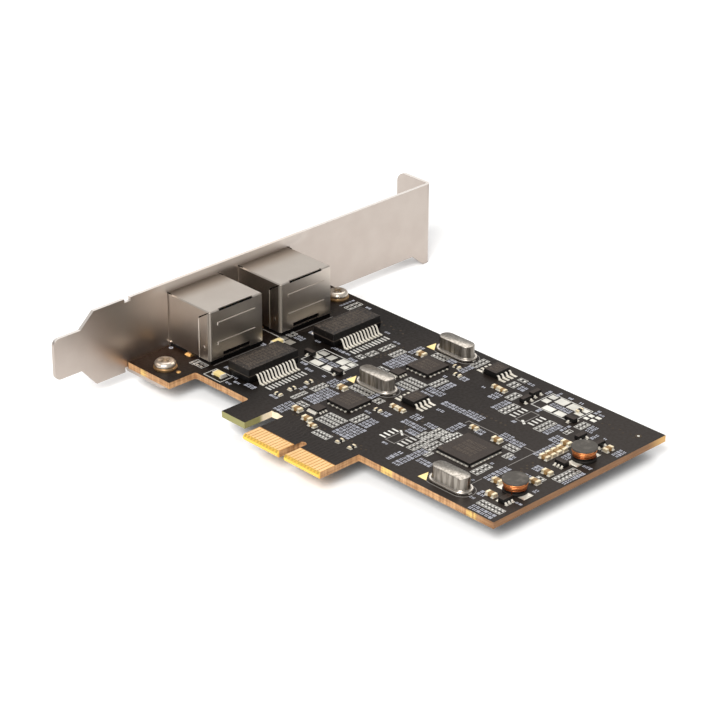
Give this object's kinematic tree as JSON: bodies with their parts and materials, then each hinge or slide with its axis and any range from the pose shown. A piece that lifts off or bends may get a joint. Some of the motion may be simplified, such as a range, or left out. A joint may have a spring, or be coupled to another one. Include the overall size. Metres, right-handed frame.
{
  "type": "network interface card",
  "caption": "Expansion card: stepped circuit board with a keyed gold edge connector, a folded slot bracket, and shielded network sockets beside their transformers.",
  "frame": {"origin": "centre of the key notch in the edge connector, on the contact edge and on the board's component face", "axes": "+X from the bracket towards the board's free end, +Y from the contact edge towards the far edge, +Z out of the component face"},
  "size_m": [0.1197, 0.12, 0.0216],
  "materials": {
    "board": "glossy dark solder mask over glass-epoxy",
    "gold": "gold plating, smooth",
    "bracket_steel": "satin plated sheet steel",
    "shell_steel": "satin tinned sheet",
    "screw_steel": "bright plated",
    "housing_plastic": "black moulded plastic",
    "contact_gold": "gold-plated spring wire",
    "package_plastic": "black moulded package",
    "tin": "bright tin",
    "crystal_steel": "satin pressed can",
    "seat_plastic": "dark insulating plastic",
    "ferrite": "grey ferrite",
    "copper": "enamelled copper wire",
    "capacitor_ceramic": "tan ceramic",
    "resistor_ceramic": "dark film on ceramic",
    "lamp_resin": "yellow resin"
  },
  "bodies": {
    "root": {"bracket": "bracket_steel", "bracket_screws": "screw_steel", "capacitor_ends": "tin", "chip_capacitors": "capacitor_ceramic", "chip_resistors": "resistor_ceramic", "circuit_board": "board", "controller_chip_a": "package_plastic", "controller_chip_b": "package_plastic", "controller_pads_a": "tin", "controller_pads_b": "tin", "crystal_can_1": "crystal_steel", "crystal_can_2": "crystal_steel", "crystal_can_3": "crystal_steel", "crystal_feet_1": "tin", "crystal_feet_2": "tin", "crystal_feet_3": "tin", "crystal_seat_1": "seat_plastic", "crystal_seat_2": "seat_plastic", "crystal_seat_3": "seat_plastic", "edge_contacts_bottom": "gold", "edge_contacts_top": "gold", "indicator_lamps": "lamp_resin", "inductor_clips_a": "tin", "inductor_clips_b": "tin", "inductor_core_a": "ferrite", "inductor_core_b": "ferrite", "inductor_winding_a": "copper", "inductor_winding_b": "copper", "jack_contacts_a": "contact_gold", "jack_contacts_b": "contact_gold", "jack_housing_a": "housing_plastic", "jack_housing_b": "housing_plastic", "jack_shell_a": "shell_steel", "jack_shell_b": "shell_steel", "lamp_ends": "tin", "leadless_chips": "package_plastic", "memory_chip_a": "package_plastic", "memory_chip_b": "package_plastic", "memory_leads_a": "tin", "memory_leads_b": "tin", "regulator_leads": "tin", "regulators": "package_plastic", "resistor_ends": "tin", "switch_chip": "package_plastic", "switch_chip_pads": "tin", "transformer_a": "package_plastic", "transformer_b": "package_plastic", "transformer_leads_a": "tin", "transformer_leads_b": "tin", "transistor_leads": "tin", "transistors": "package_plastic"}
  },
  "joints": []
}
